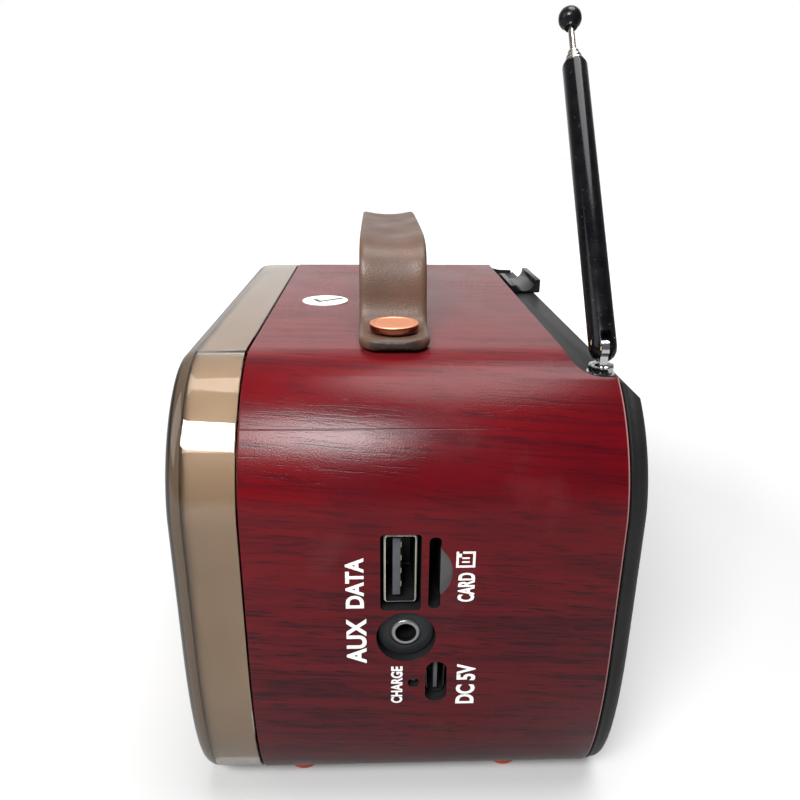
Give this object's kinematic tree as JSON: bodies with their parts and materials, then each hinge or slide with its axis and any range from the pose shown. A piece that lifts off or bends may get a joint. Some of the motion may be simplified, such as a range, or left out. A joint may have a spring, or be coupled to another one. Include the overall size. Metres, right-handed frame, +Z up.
{
  "type": "portable radio speaker",
  "caption": "Small retro radio speaker with a wood-grain case, carrying strap, telescopic antenna, tuning dial, knobs and push buttons.",
  "frame": {"origin": "under the middle of the whole radio, on the surface that its feet stand on", "axes": "+X along the case towards the end with the sockets, +Y from the front to the back, +Z up"},
  "size_m": [0.125, 0.082, 0.1428],
  "materials": {
    "rosewood_film": "printed rosewood grain film, semi-gloss",
    "smoked_plastic": "clear smoked acrylic, glossy",
    "champagne_plastic": "champagne metallic paint, satin",
    "gold_trim": "polished gold colour",
    "black_plastic": "moulded, fine texture",
    "zinc_steel": "bright zinc plate",
    "cone_paper": "pressed, matt",
    "cream_plastic": "plain, satin",
    "circuit_board": "green solder mask",
    "battery_wrap": "shrink sleeve",
    "silicone": "matt orange red",
    "leatherette": "fine-grained brown leatherette, satin",
    "copper": "copper plate, turned top and polished edge",
    "chrome": "polished",
    "black_lacquer": "gloss lacquer, small chips"
  },
  "bodies": {
    "case": {"shell": "rosewood_film", "front_cover": "smoked_plastic", "front_frame": "champagne_plastic", "button_trim": "gold_trim", "grille_ring": "gold_trim", "dial_ring": "gold_trim", "speaker_grille": "black_plastic", "back_cover": "black_plastic", "antenna_clip": "black_plastic", "aux_jack": "black_plastic", "speaker_basket": "zinc_steel", "speaker_magnet": "zinc_steel", "volume_control": "zinc_steel", "back_screw_1": "zinc_steel", "back_screw_2": "zinc_steel", "back_screw_3": "zinc_steel", "back_screw_4": "zinc_steel", "strap_nut_right": "zinc_steel", "strap_nut_left": "zinc_steel", "usb_socket": "zinc_steel", "card_socket": "zinc_steel", "usb_c_socket": "zinc_steel", "speaker_cone": "cone_paper", "dial_plate": "cream_plastic", "tuning_capacitor": "cream_plastic", "charge_led": "cream_plastic", "button_board": "circuit_board", "main_board": "circuit_board", "battery": "battery_wrap", "foot_front_left": "silicone", "foot_front_right": "silicone", "foot_back_left": "silicone", "foot_back_right": "silicone", "strap_handle": "leatherette", "strap_screw_right": "copper", "strap_screw_left": "copper"},
    "antenna_swivel": {"antenna_base": "chrome", "antenna_nut": "zinc_steel"},
    "antenna_barrel": {"antenna_tube": "black_lacquer", "antenna_pin": "chrome"},
    "section_1": {"antenna_section_1": "chrome"},
    "section_2": {"antenna_section_2": "chrome"},
    "section_3": {"antenna_section_3": "chrome"},
    "tip_rod": {"antenna_rod": "chrome", "antenna_tip": "black_lacquer"},
    "volume": {"volume_knob": "gold_trim", "volume_shaft": "zinc_steel"},
    "tuning": {"tuning_knob": "gold_trim", "tuning_shaft": "zinc_steel"},
    "pointer": {"dial_pointer": "gold_trim"},
    "key_previous": {"button_previous": "black_plastic"},
    "key_play": {"button_play": "black_plastic"},
    "key_mode": {"button_mode": "black_plastic"},
    "key_light": {"button_light": "black_plastic"},
    "key_next": {"button_next": "black_plastic"}
  },
  "joints": [
    {"name": "antenna_turn", "type": "hinge", "parent": "case", "child": "antenna_swivel", "pos_m": [0.0466, 0.03525, 0.0824], "axis": [0, 0, 1], "range_deg": [0, 350]},
    {"name": "antenna_elbow", "type": "hinge", "parent": "antenna_swivel", "child": "antenna_barrel", "pos_m": [0.0466, 0.03525, 0.0855], "axis": [0, 1, 0], "range_deg": [-54.2, 36.6]},
    {"name": "antenna_draw_1", "type": "slide", "parent": "antenna_barrel", "child": "section_1", "axis": [-0.5962, 0, 0.8028], "range_m": [0, 0.044]},
    {"name": "antenna_draw_2", "type": "slide", "parent": "section_1", "child": "section_2", "axis": [-0.5962, 0, 0.8028], "range_m": [0, 0.044]},
    {"name": "antenna_draw_3", "type": "slide", "parent": "section_2", "child": "section_3", "axis": [-0.5962, 0, 0.8028], "range_m": [0, 0.044]},
    {"name": "antenna_draw_4", "type": "slide", "parent": "section_3", "child": "tip_rod", "axis": [-0.5962, 0, 0.8028], "range_m": [-0.0045, 0.04]},
    {"name": "volume_turn", "type": "hinge", "parent": "case", "child": "volume", "pos_m": [-0.032, -0.03875, 0.0157], "axis": [0, 1, 0], "range_deg": [0, 300]},
    {"name": "tuning_turn", "type": "hinge", "parent": "case", "child": "tuning", "pos_m": [0.032, -0.03875, 0.0157], "axis": [0, 1, 0], "range_deg": [-150, 150]},
    {"name": "pointer_turn", "type": "hinge", "parent": "case", "child": "pointer", "pos_m": [0.028, -0.03375, 0.0582], "axis": [0, 1, 0], "range_deg": [-82.5, 82.5]},
    {"name": "press_previous", "type": "slide", "parent": "case", "child": "key_previous", "axis": [0, 1, 0], "range_m": [0, 0.001], "stiffness_N_per_m": 100},
    {"name": "press_play", "type": "slide", "parent": "case", "child": "key_play", "axis": [0, 1, 0], "range_m": [0, 0.001], "stiffness_N_per_m": 100},
    {"name": "press_mode", "type": "slide", "parent": "case", "child": "key_mode", "axis": [0, 1, 0], "range_m": [0, 0.001], "stiffness_N_per_m": 100},
    {"name": "press_light", "type": "slide", "parent": "case", "child": "key_light", "axis": [0, 1, 0], "range_m": [0, 0.001], "stiffness_N_per_m": 100},
    {"name": "press_next", "type": "slide", "parent": "case", "child": "key_next", "axis": [0, 1, 0], "range_m": [0, 0.001], "stiffness_N_per_m": 100}
  ],
  "couplings": [
    {"joint": "pointer_turn", "follows": "tuning_turn", "ratio": 0.55}
  ]
}
